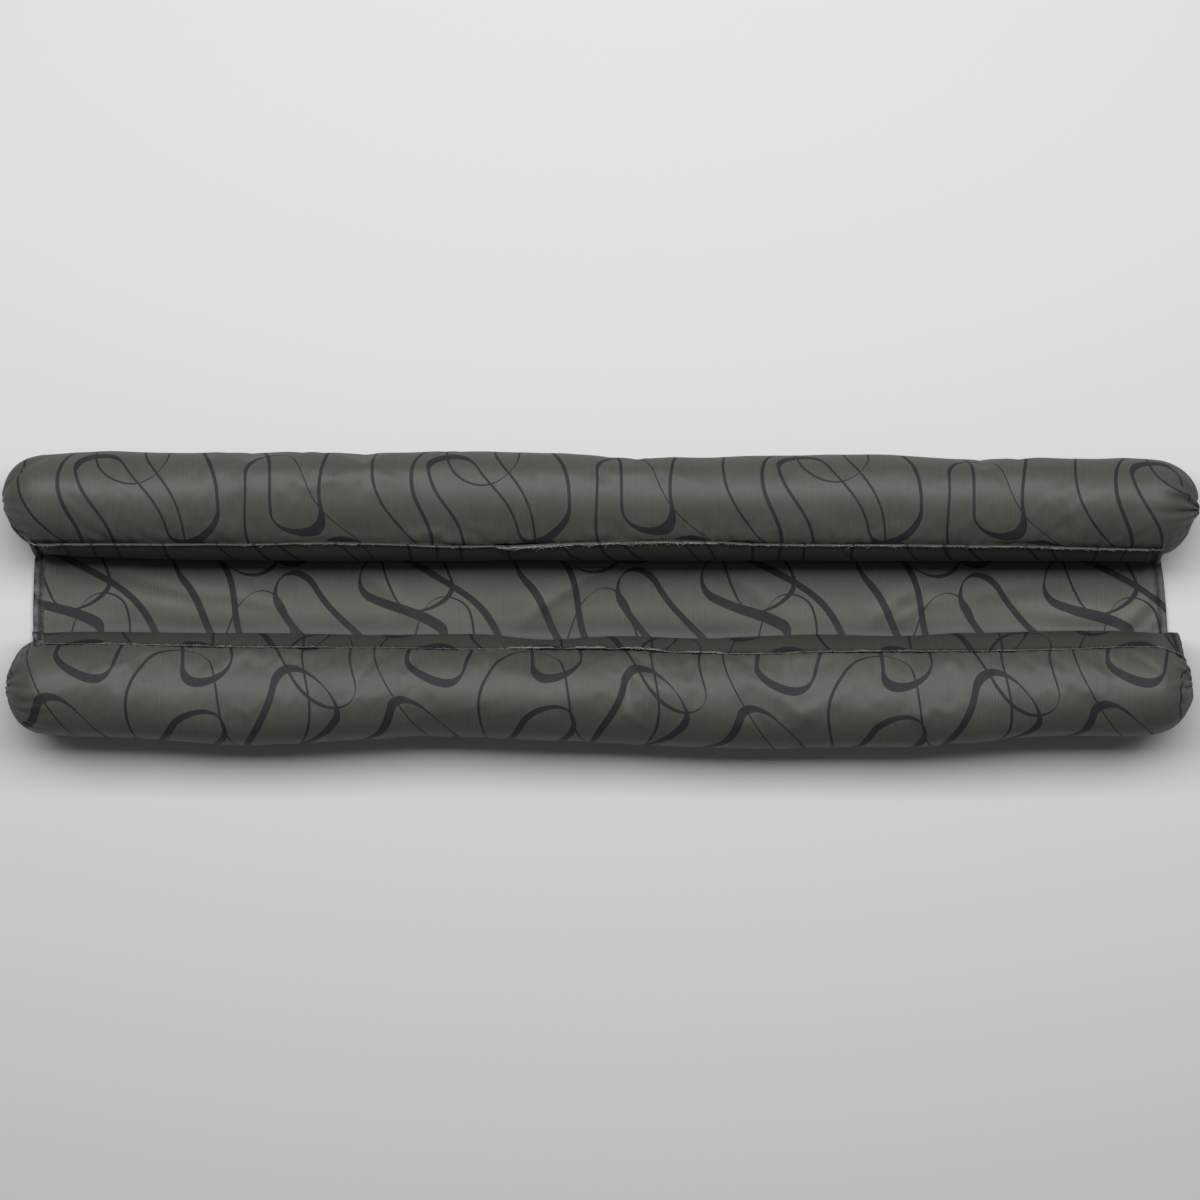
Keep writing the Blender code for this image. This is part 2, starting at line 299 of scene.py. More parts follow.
def satin(name, corner, painted_light=(1.0, 1.0), turned=0.0):
    """Printed satin. corner is where the piece was cut from the printed length; the third argument
    gives the painted shade on a roll's side and the painted light where the cloth lies flat, as
    shares of its colour; and turned is the width of a left hem that shows the cloth's reverse."""
    material, shader, thread = new_material(name, specular=SATIN_GLOSS)
    cloth = thread.make("ShaderNodeUVMap", {"uv_map": "cloth"})
    body = thread.make("ShaderNodeTexCoord", output="Object")
    ink = print_ink(cloth, corner)

    along = thread.make("ShaderNodeSeparateXYZ", {}, {0: cloth})
    across = thread.make("ShaderNodeSeparateXYZ", {}, {0: cloth}, 1)
    stretch = cloth.vector("MULTIPLY", cloth, (1.0, 0.12, 1.0))
    cloud = thread.noise(body, CLOUDS, 3.0)
    streak = thread.noise(stretch, STREAKS, 2.0)
    ripple = thread.noise(stretch, RIPPLES, 2.0)
    patch = thread.noise(cloth, PATCHES, 2.0)

    # Painted light: the colour is made paler across the part that lies flat and faces the lamp, and
    # darker, as painted shade, on the rolls' sides. On the rolls both shares are 1, so nothing is
    # painted there.
    near = thread.math("DIVIDE", across - PANEL_FLAT[0], PANEL_FADE, clamp=True)
    flat = near * thread.math("DIVIDE", PANEL_FLAT[1] - across, PANEL_FADE, clamp=True)
    ribs = along * (math.tau / RIB_PITCH) + ripple * RIB_WANDER
    rib = ribs.math("SINE", ribs)
    ribbed = thread.math("MULTIPLY", cloud - 0.43, 4.5, clamp=True)
    # The painted light and shade, times the cloth's own uneven tone from the clouds and streaks.
    shade = (painted_light[0] + flat * (painted_light[1] - painted_light[0])) * (0.72 + cloud * 0.28 + streak * 0.28)
    shade = shade * (1.0 + rib * (RIB_TONE + ribbed * RIBBED_TONE))
    face = thread.mix(ink, thread.shaded(SATIN_GREEN, shade), (*INK, 1.0))
    reverse = along < turned
    dull = thread.shaded(REVERSE, patch * 6.0 - 2.0)
    feed(shader, {"Base Color": thread.mix(reverse, face, dull)})

    rough = SATIN_ROUGHNESS + cloud * 0.06 + ink * (INK_ROUGHNESS - SATIN_ROUGHNESS) + rib * 0.015
    rough = rough + reverse * REVERSE_DULL
    height = rib * 0.5 + streak * 1.2
    bump = thread.make("ShaderNodeBump", {}, {
        "Strength": 0.35, "Distance": WEAVE_BUMP, "Height": height})
    feed(shader, {"Roughness": rough, "Normal": bump})
    return material


# Each roll: a tube of satin, filled with polyester fibre until it is taut. Both ends are gathered
# and tied off, and the filling bulges round the tie. The long seam is on the roll's inner side.
CLOTH_STEP = 0.0036           # of the cage that the tube's cloth starts from
END_REACH = 0.036             # from a roll's tip to where its end starts to close
TIE_ANGLE = math.radians(86)  # how far round the end the cloth is gathered
SEAM_BELOW = 0.0034           # the solid panel's edge stops this far below the seam
SEAM_WITHIN = 0.40            # that edge is read up to here, left and right of the middle
AXIS_WITHIN = 0.415           # and so is the middle of a roll's section
MEAN_RADIUS = 0.039
SAME_PLACE = 0.00002          # corners that lie this close are merged
SPARE_CLOTH = 0.010           # share by which the tube is cut larger than the filling
SWELL = 0.0009                # how far the filling pushes the cloth out
SWELL_LIMIT = 0.0026
SETTLING_FRAMES = 16
HELD_BELOW = 0.0004           # the floor holds the cloth up to this height while it settles
FLOOR_BELOW = 0.0008          # and keeps it flat up to this one
SEAM_GROOVE = {1: 0.0010, -1: 0.0005}    # how deep the seam pulls the cloth in, by the roll's side
SEAM_GROOVE_WIDTH = 0.0042
COVERED_DEPTH = 0.0014        # how far the panel presses the roll's cloth in
COVERED_REACH = 0.075         # from the seam down to here
COVERED_FADES = (0.005, 0.010)    # over which that starts and ends
SEAM_PUCKER = 0.0006
SEAM_PUCKER_REACH = 0.013
SEAM_PUCKER_PITCH = 0.0105
LUMPS, FINE_LUMPS = 0.0016, 0.0006    # how far the filling's unevenness stands out
PLEAT_REACH = 0.052
PLEAT_SHARPNESS = 2.2
TIE_DIMPLE = 0.0042
TIE_DIMPLE_REACH = 0.013
TIE_INSIDE = 0.0006           # the bunch starts this far inside the dimple
# Gathered ends: how many pleats, how deep they are, the turn at which they start, and how far the
# bunch of cloth in the tie stands out.
Gather = namedtuple("Gather", "pleats depth start bunch")
# Creases in the cloth's own measure: u along the tube from its left tie, or if below 0 from its
# right one, and v round it from the seam towards the crest. A crease with a height below 0 is a
# trough.
Crease = namedtuple("Crease", "u v angle length width height")
Roll = namedtuple("Roll", "node side corner left right creases")
ROLLS = [
    Roll("roll_back", 1, (0.031, 0.113),
         Gather(15, 0.0046, 0.3, 0.0035), Gather(17, 0.0044, 1.9, 0.0060), [
        Crease(0.402, 0.018, 1.50, 0.050, 0.009, -0.0014),
        Crease(0.330, 0.020, 1.20, 0.060, 0.014, -0.0009),
        Crease(0.560, 0.030, 1.75, 0.070, 0.020, -0.0008),
        Crease(0.690, 0.024, 1.35, 0.060, 0.016, -0.0007),
        Crease(0.200, 0.050, 1.70, 0.080, 0.022, -0.0008),
        Crease(0.830, 0.040, 1.30, 0.070, 0.018, -0.0009),
        Crease(0.037, 0.066, 0.50, 0.036, 0.007, -0.0031),
        Crease(0.043, 0.077, 0.30, 0.030, 0.006, -0.0025),
        Crease(0.024, 0.004, 0.20, 0.038, 0.006, -0.0030),
        Crease(0.022, 0.016, 0.00, 0.038, 0.006, -0.0025),
        Crease(0.026, 0.030, -0.15, 0.030, 0.006, -0.0018),
        Crease(-0.030, 0.034, 0.06, 0.046, 0.006, -0.0024),
        Crease(-0.029, 0.046, -0.05, 0.052, 0.007, -0.0027),
        Crease(-0.031, 0.059, -0.18, 0.044, 0.007, -0.0022),
    ]),
    Roll("roll_front", -1, (0.142, 0.032),
         Gather(16, 0.0048, 2.6, 0.0035), Gather(14, 0.0046, 0.9, 0.0040), [
        Crease(0.545, 0.006, 1.35, 0.030, 0.007, -0.0016),
        Crease(0.430, 0.022, 1.80, 0.060, 0.014, -0.0008),
        Crease(0.255, 0.030, 1.30, 0.070, 0.018, -0.0008),
        Crease(0.700, 0.030, 1.65, 0.070, 0.018, -0.0009),
        Crease(0.120, 0.040, 1.45, 0.080, 0.020, -0.0007),
        Crease(0.850, 0.020, 1.20, 0.050, 0.012, -0.0010),
        Crease(0.030, 0.064, -0.25, 0.050, 0.007, -0.0034),
        Crease(0.027, 0.075, -0.10, 0.044, 0.007, -0.0028),
        Crease(0.036, 0.054, -0.30, 0.038, 0.006, -0.0021),
        Crease(-0.020, 0.028, 0.00, 0.034, 0.006, -0.0028),
        Crease(-0.019, 0.039, 0.10, 0.034, 0.006, -0.0026),
        Crease(-0.022, 0.051, -0.12, 0.036, 0.006, -0.0022),
    ]),
]


def solid_tree(node):
    """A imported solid, ready to be hit by rays."""
    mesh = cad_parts[node].data
    corners = [vertex.co.copy() for vertex in mesh.vertices]
    return BVHTree.FromPolygons(corners, [tuple(face.vertices) for face in mesh.polygons])


def smooth_along(values, steps, axis=0, ring=False):
    """Values blurred along one axis by a bell of this many steps."""
    reach = int(3 * steps)
    bell = np.exp(-0.5 * (np.arange(-reach, reach + 1) / steps) ** 2)
    bell /= bell.sum()
    values = np.moveaxis(values, axis, 0)
    padding = [(reach, reach)] + [(0, 0)] * (values.ndim - 1)
    if ring:
        wide = np.pad(values, padding, mode="wrap")
    else:
        wide = np.pad(values, padding, mode="reflect", reflect_type="odd")
    total = sum(share * wide[i:i + len(values)] for i, share in enumerate(bell))
    return np.moveaxis(total, 0, axis)


def seam_of_panel(side):
    """The solid panel's edge at a roll: rows of x, y and z, along the seam."""
    highest = {}
    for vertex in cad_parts["door_panel"].data.vertices:
        x, y, z = vertex.co
        station = round(x, 3)
        if side * y > 0 and abs(x) < SEAM_WITHIN and z > highest.get(station, (0, 0, 0.03))[2]:
            highest[station] = (x, y, z)
    return np.array([highest[station] for station in sorted(highest)])


def roll_axis(node, x):
    """The middle of a roll's section at x, from its solid's outline."""
    rings = {}
    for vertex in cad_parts[node].data.vertices:
        rings.setdefault(round(vertex.co.x, 4), []).append(vertex.co)
    stations = sorted(
        station for station, ring in rings.items()
        if len(ring) > 20 and abs(station) < AXIS_WITHIN
    )
    middles = [
        [(min(point[i] for point in rings[station]) + max(point[i] for point in rings[station])) / 2
         for i in (1, 2)]
        for station in stations
    ]
    y, z = np.array(middles).T
    return np.interp(x, stations, y), np.interp(x, stations, z)


def cloth_grid(points, flat):
    """A piece of cloth: a grid with its corners at points, and with flat as its own map."""
    cloth = bmesh.new()
    columns, rows = points.shape[0] - 1, points.shape[1] - 1
    bmesh.ops.create_grid(cloth, x_segments=columns, y_segments=rows, size=1.0)
    own_map = cloth.loops.layers.uv.new("cloth")
    for vertex in cloth.verts:
        column = round((vertex.co.x + 1) / 2 * columns)
        row = round((vertex.co.y + 1) / 2 * rows)
        vertex.co = points[column, row]
        for loop in vertex.link_loops:
            loop[own_map].uv = flat[column, row]
    return cloth


def finished(name, cloth, material):
    """An object made of a piece of cloth, in the object's own place."""
    mesh = bpy.data.meshes.new(name)
    cloth.to_mesh(mesh)
    cloth.free()
    mesh.shade_smooth()
    mesh.materials.append(material)
    made = bpy.data.objects.new(name, mesh)
    bpy.context.scene.collection.objects.link(made)
    return made


def tube_stations(node):
    """Where each ring of the tube is cast from: its middle's x, and how far it leans outwards."""
    low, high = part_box(node)
    first, last = low.x + END_REACH, high.x - END_REACH
    middle = np.linspace(first, last, round((last - first) / CLOTH_STEP) + 1)
    turns = round(MEAN_RADIUS * TIE_ANGLE / CLOTH_STEP)
    leans = np.linspace(TIE_ANGLE, 0, turns, endpoint=False)
    x = np.concatenate([np.full(turns, first), middle, np.full(turns, last)])
    lean = np.concatenate([-leans, np.zeros(len(middle)), leans[::-1]])
    return x, lean


def tube_of(roll):
    """The tube's cloth over its solid, and its axis: arrays of points."""
    solid = solid_tree(roll.node)
    x, lean = tube_stations(roll.node)
    y, z = roll_axis(roll.node, x)
    edge = seam_of_panel(roll.side)
    edge_y, edge_z = (np.interp(x, edge[:, 0], edge[:, i]) for i in (1, 2))
    seam = np.arctan2(roll.side * (y - edge_y), edge_z - z) - SEAM_BELOW / MEAN_RADIUS
    seam = smooth_along(seam, 3)
    rows = round(math.tau * MEAN_RADIUS / CLOTH_STEP / 2) * 2
    turn = seam[:, None] + np.linspace(0, math.tau, rows + 1)[None, :]
    reach = np.zeros(turn.shape)
    for column in range(len(x)):
        middle = Vector((x[column], y[column], z[column]))
        for row in range(rows):
            sideways = math.cos(lean[column])
            ray = Vector((
                math.sin(lean[column]),
                -roll.side * math.sin(turn[column, row]) * sideways,
                math.cos(turn[column, row]) * sideways,
            ))
            reach[column, row] = solid.ray_cast(middle, ray)[3]
    reach[:, :rows] = smooth_along(reach[:, :rows], 1.4, axis=1, ring=True)
    reach[:, rows] = reach[:, 0]
    reach = smooth_along(reach, 2.4)
    sideways = np.cos(lean)[:, None]
    points = np.stack([
        x[:, None] + reach * np.sin(lean)[:, None],
        y[:, None] - roll.side * reach * sideways * np.sin(turn),
        z[:, None] + reach * sideways * np.cos(turn),
    ], axis=2)
    return points, np.stack([x, y, z], axis=1)


def flat_map(points):
    """The cloth's own measure: along the tube, and round it from the seam."""
    along = np.median(np.linalg.norm(np.diff(points, axis=0), axis=2), axis=1)
    around = np.median(np.linalg.norm(np.diff(points, axis=1), axis=2), axis=0)
    u = np.concatenate([[0], np.cumsum(along)])
    v = np.concatenate([[0], np.cumsum(around)])
    return np.stack(np.broadcast_arrays(u[:, None], v[None, :]), axis=2)


def settled(piece, sewn):
    """The piece's mesh once the filling has pushed its loose cloth out, with one subdivision."""
    rest = np.array([vertex.co for vertex in piece.data.vertices])
    group = piece.vertex_groups.new(name="sewn")
    group.add(sewn, 1.0, "REPLACE")
    filling = piece.modifiers.new("Filling", "CLOTH")
    filling.settings.quality = 4
    filling.settings.mass = 0.12
    filling.settings.tension_stiffness = 24
    filling.settings.compression_stiffness = 24
    filling.settings.shear_stiffness = 6
    filling.settings.bending_stiffness = 0.15
    filling.settings.use_pressure = True
    filling.settings.uniform_pressure_force = 3
    filling.settings.shrink_min = -SPARE_CLOTH
    filling.settings.effector_weights.gravity = 0
    filling.settings.vertex_group_mass = group.name
    filling.collision_settings.use_collision = False
    for frame_number in range(1, SETTLING_FRAMES + 1):
        bpy.context.scene.frame_set(frame_number)
    evaluated = piece.evaluated_get(bpy.context.evaluated_depsgraph_get())
    moved = np.array([vertex.co for vertex in evaluated.data.vertices]) - rest
    piece.modifiers.remove(filling)
    far = np.linalg.norm(moved, axis=1, keepdims=True)
    rest = rest + moved * np.minimum(1.0, SWELL_LIMIT / np.maximum(far, 1e-9))
    bpy.context.scene.frame_set(1)
    piece.data.vertices.foreach_set("co", rest.ravel())
    piece.data.update()
    smooth = piece.modifiers.new("Smooth", "SUBSURF")
    smooth.levels = smooth.render_levels = 1
    bpy.context.view_layer.update()
    evaluated = piece.evaluated_get(bpy.context.evaluated_depsgraph_get())
    mesh = bpy.data.meshes.new_from_object(evaluated)
    piece.modifiers.remove(smooth)
    piece.data = mesh
    return mesh


def own_measure(mesh):
    """Each vertex's u and v in the cloth's own map."""
    corner_of = np.zeros(len(mesh.loops), int)
    mesh.loops.foreach_get("vertex_index", corner_of)
    flat = np.zeros(2 * len(mesh.loops))
    mesh.uv_layers["cloth"].data.foreach_get("uv", flat)
    measure = np.zeros((len(mesh.vertices), 2))
    measure[corner_of] = flat.reshape(-1, 2)
    return measure[:, 0], measure[:, 1]


def uneven(u, v, scale_u, scale_v, seed):
    """Soft unevenness from -1 to 1, of this many lumps to a metre along u and v."""
    return np.array([
        noise.noise(Vector((scale_u * a, scale_v * b, seed))) for a, b in zip(u, v)])


def wander(x, scale, seed):
    """The same along a line."""
    return uneven(x, 0 * x, scale, 1, seed)


def creased(u, v, creases):
    """The height of creases at each point of the cloth."""
    height = np.zeros(len(u))
    for crease in creases:
        from_u = u - crease.u - (u.max() if crease.u < 0 else 0)
        along = from_u * math.cos(crease.angle) + (v - crease.v) * math.sin(crease.angle)
        across = (v - crease.v) * math.cos(crease.angle) - from_u * math.sin(crease.angle)
        bow = across - 0.12 * along**2 / crease.length
        bell = np.exp(-(2.2 * along / crease.length) ** 2 - (2.2 * bow / crease.width) ** 2)
        height += crease.height * bell
    return height


def gathered(u, turn, gather, from_tie):
    """How far the pleats of a gathered end lie below the cloth's outer folds."""
    fade = np.clip(1 - from_tie / PLEAT_REACH, 0, 1) ** 1.3
    phase = gather.pleats * turn + 1.5 * np.sin(2 * turn + gather.start)
    phase += 0.9 * np.sin(5 * turn + 2 * gather.start)
    uneven_depth = 0.66 + 0.34 * np.cos(3 * turn + gather.start)
    dimple = np.clip(1 - from_tie / TIE_DIMPLE_REACH, 0, 1) ** 2
    pleat = (0.5 - 0.5 * np.cos(phase)) ** PLEAT_SHARPNESS
    return -gather.depth * fade * uneven_depth * pleat - TIE_DIMPLE * dimple


def relief_of(roll, mesh):
    """How far each point of a roll's cloth stands out: creases, puckers, pleats and groove."""
    u, v = own_measure(mesh)
    girth, length = v.max(), u.max()
    turn = math.tau * v / girth
    from_seam = np.minimum(v, girth - v)
    height = creased(u, girth - v, roll.creases)
    height += LUMPS * uneven(u, v, 16, 9, roll.side) + FINE_LUMPS * uneven(u, v, 38, 22, 3)
    phase = math.tau * u / SEAM_PUCKER_PITCH + 2.6 * wander(u, 33, 5 * roll.side)
    pucker = 0.5 - 0.5 * np.cos(phase)
    height -= SEAM_PUCKER * pucker * np.exp(-(from_seam / SEAM_PUCKER_REACH) ** 2)
    height -= SEAM_GROOVE[roll.side] * np.exp(-(from_seam / SEAM_GROOVE_WIDTH) ** 2)
    starts, ends = v / COVERED_FADES[0], (COVERED_REACH - v) / COVERED_FADES[1]
    height -= COVERED_DEPTH * (np.clip(starts, 0, 1) * np.clip(ends, 0, 1))
    height += gathered(u, turn, roll.left, u)
    height += gathered(u, turn, roll.right, length - u)
    return height


def raised(mesh, height):
    """Moves each vertex along its normal by its height, and none of them below the floor."""
    place = np.zeros(3 * len(mesh.vertices))
    normal = np.zeros(3 * len(mesh.vertices))
    mesh.vertices.foreach_get("co", place)
    mesh.vertices.foreach_get("normal", normal)
    place, normal = place.reshape(-1, 3), normal.reshape(-1, 3)
    on_floor = place[:, 2] < FLOOR_BELOW
    moved = place + normal * np.where(on_floor, 0.0, height)[:, None]
    moved[:, 2] = np.maximum(moved[:, 2], 0.0)
    mesh.vertices.foreach_set("co", moved.ravel())
    mesh.update()


seams, ties_of_rolls = {}, {}
for roll in ROLLS:
    points, axis = tube_of(roll)
    outwards = points - axis[:, None, :]
    outwards /= np.linalg.norm(outwards, axis=2, keepdims=True)
    seams[roll.node] = (points[:, 0], outwards[:, 0])
    swollen = points - SWELL * outwards
    swollen[:, :, 2] = np.maximum(swollen[:, :, 2], 0.0)
    cloth = cloth_grid(swollen, flat_map(points))
    seam_row = {tuple(point) for point in np.float32(swollen[:, 0]).round(6)}
    bmesh.ops.remove_doubles(cloth, verts=cloth.verts, dist=SAME_PLACE)
    rims = [edge for edge in cloth.edges if edge.is_boundary]
    ties = {vertex for edge in rims for vertex in edge.verts}
    sewn = [
        vertex.index for vertex in cloth.verts
        if vertex in ties or vertex.co.z < HELD_BELOW
        or tuple(np.float32(vertex.co).round(6)) in seam_row
    ]
    bmesh.ops.holes_fill(cloth, edges=rims, sides=0)
    bmesh.ops.recalc_face_normals(cloth, faces=cloth.faces)
    piece = finished(roll.node + "_cloth", cloth, satin(roll.node + "_satin", roll.corner))
    raised(settled(piece, sewn), relief_of(roll, piece.data))
    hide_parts(roll.node)
    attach(piece, "root")
    for ring, end, gather in ((points[0], -1, roll.left), (points[-1], 1, roll.right)):
        middle = ring.mean(axis=0) - np.array([end * (TIE_DIMPLE + TIE_INSIDE), 0.0, 0.0])
        ties_of_rolls[roll.node, end] = middle, gather, piece.data.materials[0]


# The panel: a single layer of the satin. It hangs down the rolls' inner sides and lies on the
# floor between them. Its long edges are sewn to the rolls, with their raw edges outwards, and its
# short ends are hemmed: the left hem is turned up, so that it shows the cloth's dull reverse.
PANEL_STEP = 0.0026
PANEL_THICK = 0.0011
PANEL_LENGTH, PANEL_GIRTH = 0.866, 0.17    # along its cloth, and from seam to seam
PANEL_LIFT = 0.0004           # how far it lies above the solid panel's face
PANEL_LUMPS, PANEL_FINE_LUMPS = 0.0008, 0.0002
SIGHT_Y, SIGHT_HEIGHT = 0.002, 0.046     # from this place over the gap all of the panel shows
WHOLE_FROM, WHOLE_TO = -0.424, 0.4205    # between these it reaches both seams straight across
# x of its short ends, at these shares of the way from the back seam to the front one.
END_SHARES = (0.0, 0.10, 0.35, 0.65, 0.90, 1.0)
LEFT_END = (-0.4290, -0.4262, -0.4325, -0.4335, -0.4285, -0.4240)
RIGHT_END = (0.4230, 0.4205, 0.4300, 0.4340, 0.4362, 0.4400)
UNDERCUT = 0.0055             # how far its front bend reaches under the front roll
UNDERCUT_FROM, UNDERCUT_FADE = 0.010, 0.014    # in front of the middle, and over this width
UNDERCUT_HEIGHT = 0.007
SEAM_SINK = (0.0013, 0.0002)  # how far inside the roll's folds a seam lies, hidden and shown
SEAM_PULL = 0.014             # over this reach the panel rises to its seam
SHOWN_FADE = 0.004            # over which a seam's thread comes into sight
HEM = 0.0080
HEM_STEP = 0.0008             # the columns lie this close together at the hems
HEM_RISE = 0.0008
HEM_EDGE = 0.0011             # over which the cloth rises to it
HEM_STITCH = (0.0008, 0.0048)    # its stitches run from here to here, from its inner edge
STITCH_DIP, STITCH_WIDTH = 0.0004, 0.0022    # and press the cloth in
HEM_PUCKER, HEM_PUCKER_PITCH = 0.00022, 0.0085
PANEL_CREASES = [
    Crease(0.410, 0.082, -0.46, 0.070, 0.010, 0.0010),
    Crease(0.432, 0.070, -0.40, 0.060, 0.007, 0.0008),
    Crease(0.395, 0.094, -0.52, 0.050, 0.008, 0.0008),
    Crease(0.660, 0.090, -0.62, 0.060, 0.010, 0.0010),
    Crease(0.672, 0.098, -0.50, 0.045, 0.007, 0.0008),
    Crease(0.095, 0.078, 0.30, 0.110, 0.014, 0.0013),
    Crease(0.150, 0.088, 0.18, 0.080, 0.010, 0.0009),
    Crease(0.838, 0.100, -0.80, 0.055, 0.010, 0.0016),
    Crease(0.848, 0.112, -0.95, 0.045, 0.007, 0.0012),
    Crease(0.270, 0.084, 0.70, 0.070, 0.013, 0.0010),
    Crease(0.540, 0.076, 0.55, 0.080, 0.014, 0.0010),
    Crease(0.745, 0.080, -0.20, 0.090, 0.013, 0.0009),
]
# The seams: how far the raw edge stands out and leans towards the panel, and where its pale
# thread and fray show, from one x to another.
Shown = namedtuple("Shown", "first last share")
Seam = namedtuple("Seam", "roll row height lean least shown")
SEAMS = [
    Seam(ROLLS[0], 0, 0.0014, 0.72, 0.10, [
        Shown(-0.080, 0.091, 0.70), Shown(-0.075, -0.028, 1.00), Shown(0.091, 0.414, 0.34),
        Shown(-0.226, -0.179, 0.34), Shown(-0.113, -0.107, 0.70), Shown(-0.428, -0.405, 0.50),
    ]),
    Seam(ROLLS[1], -1, 0.0009, -0.25, 0.08, [
        Shown(-0.071, -0.034, 0.66), Shown(-0.022, 0.006, 0.56), Shown(0.014, 0.048, 0.66),
        Shown(0.062, 0.090, 0.72), Shown(0.110, 0.250, 0.26), Shown(-0.380, -0.200, 0.22),
    ]),
]


def panel_section(solid, x, edges, rows):
    """The solid panel's upper face at x, from the back seam to the front one, evenly spaced."""
    sight = Vector((x, SIGHT_Y, SIGHT_HEIGHT))
    ends = [math.atan2(edges[side][0] - sight.y, sight.z - edges[side][1]) for side in (1, -1)]
    hits = []
    for angle in np.linspace(ends[0] * 0.995, ends[1] * 0.995, 6 * rows):
        ray = Vector((0.0, math.sin(angle), -math.cos(angle)))
        hit = solid.ray_cast(sight, ray)[0]
        if hit is not None:
            hits.append(hit)
    hits = np.array(hits)
    length = np.concatenate([[0], np.cumsum(np.linalg.norm(np.diff(hits, axis=0), axis=1))])
    even = np.linspace(0, length[-1], rows)
    return np.stack([np.interp(even, length, hits[:, i]) for i in range(3)], axis=1)


def panel_columns(length):
    """How far each column of the panel's cloth lies from its left end, as a share of its length."""
    hem = np.arange(0, HEM + 0.0045, HEM_STEP)
    rest = np.linspace(hem[-1] + HEM_STEP, length / 2, round(length / 2 / PANEL_STEP))
    half = np.concatenate([hem, rest])
    return np.concatenate([half, length - half[-2::-1]]) / length


def panel_points():
    """The panel's cloth over its solid, still without its seams."""
    solid = solid_tree("door_panel")
    stations = np.linspace(WHOLE_FROM, WHOLE_TO, round((WHOLE_TO - WHOLE_FROM) / PANEL_STEP))
    rows = round(PANEL_GIRTH / PANEL_STEP)
    edge_rows = {side: seam_of_panel(side) for side in (1, -1)}
    sections = []
    for place in stations:
        edges = {
            side: [np.interp(place, rows_of[:, 0], rows_of[:, i]) for i in (1, 2)]
            for side, rows_of in edge_rows.items()
        }
        sections.append(panel_section(solid, place, edges, rows))
    sections = smooth_along(smooth_along(np.array(sections), 3.0), 1.0, axis=1)
    across = np.linspace(0, 1, rows)
    left, right = (
        smooth_along(np.interp(across, END_SHARES, end), 3) for end in (LEFT_END, RIGHT_END))
    x = left + panel_columns(PANEL_LENGTH)[:, None] * (right - left)
    y, z = (
        np.stack([
            np.interp(x[:, row], stations, sections[:, row, i]) for row in range(rows)], axis=1)
        for i in (1, 2)
    )
    in_front = np.clip((-y - UNDERCUT_FROM) / UNDERCUT_FADE, 0, 1)
    bend = in_front * np.exp(-((z - UNDERCUT_HEIGHT) / UNDERCUT_HEIGHT) ** 2)
    return np.stack([x, y - UNDERCUT * bend, z], axis=2)


def share_shown(seam, x):
    """How much of a seam's thread shows at each x, from 0 to 1."""
    shares = [np.full(len(x), seam.least)]
    for part in seam.shown:
        inside = np.clip(np.minimum(x - part.first, part.last - x) / SHOWN_FADE, 0, 1)
        shares.append(part.share * inside)
    return np.max(shares, axis=0)


def seam_frame(seam, x):
    """At each x along a seam: its place, the way out of the roll, and the way to the panel."""
    along, out = seams[seam.roll.node]
    place = np.stack([np.interp(x, along[:, 0], along[:, i]) for i in range(3)], axis=1)
    out = np.stack([np.interp(x, along[:, 0], out[:, i]) for i in range(3)], axis=1)
    side = seam.roll.side
    down = np.stack([0 * x, -side * out[:, 2], side * out[:, 1]], axis=1)
    sink = np.interp(share_shown(seam, x), (0, 1), SEAM_SINK)
    return place - sink[:, None] * out, out, down


def raw_edge(seam, x):
    """The top of a seam's raw edge at each x, as an offset from the seam."""
    place, out, down = seam_frame(seam, x)
    seed = 9.0 * seam.roll.side
    lean = seam.lean + 0.30 * wander(x, 26, seed) + 0.16 * wander(x, 90, seed)
    share = 0.40 + 0.60 * share_shown(seam, x) + 0.20 * wander(x, 55, seed + 2)
    height = seam.height * share
    return height[:, None] * (out * np.cos(lean)[:, None] + down * np.sin(lean)[:, None])


def sewn_in(points, seam):
    """The panel's cloth with a long edge brought to its seam, and with its raw edge beyond it."""
    edge = points[:, seam.row]
    place = seam_frame(seam, edge[:, 0])[0]
    rows = points if seam.row == 0 else points[:, ::-1]
    from_edge = np.cumsum(np.linalg.norm(np.diff(rows, axis=1), axis=2), axis=1)
    from_edge = np.concatenate([np.zeros((len(points), 1)), from_edge], axis=1)
    rise = np.exp(-(from_edge / SEAM_PULL) ** 2)
    rows = rows + rise[:, :, None] * (place - edge)[:, None, :]
    top = raw_edge(seam, place[:, 0])
    rows = np.concatenate([(place + top)[:, None], (place + 0.5 * top)[:, None], rows], axis=1)
    return rows if seam.row == 0 else rows[:, ::-1]


def hemmed(u, v):
    """How far the panel's cloth stands out at its hems, by the distance from a short end."""
    inner = np.clip((HEM - u) / HEM_EDGE + 0.5, 0, 1)
    stitch = np.exp(-((u - HEM + np.mean(HEM_STITCH)) / STITCH_WIDTH) ** 2)
    wave = np.sin(math.tau * v / HEM_PUCKER_PITCH + 3 * np.sin(v / 0.012))
    pucker = np.clip(1 - u / (2.5 * HEM), 0, 1) * wave
    return HEM_RISE * inner - STITCH_DIP * stitch + HEM_PUCKER * pucker


points = panel_points()
for seam in SEAMS:
    points = sewn_in(points, seam)
flat = flat_map(points)
length, width = flat[-1, 0, 0], flat[0, -1, 1]
cloth = cloth_grid(points, flat)
bmesh.ops.recalc_face_normals(cloth, faces=cloth.faces)
if sum(face.normal.z for face in cloth.faces) < 0:
    bmesh.ops.reverse_faces(cloth, faces=cloth.faces)
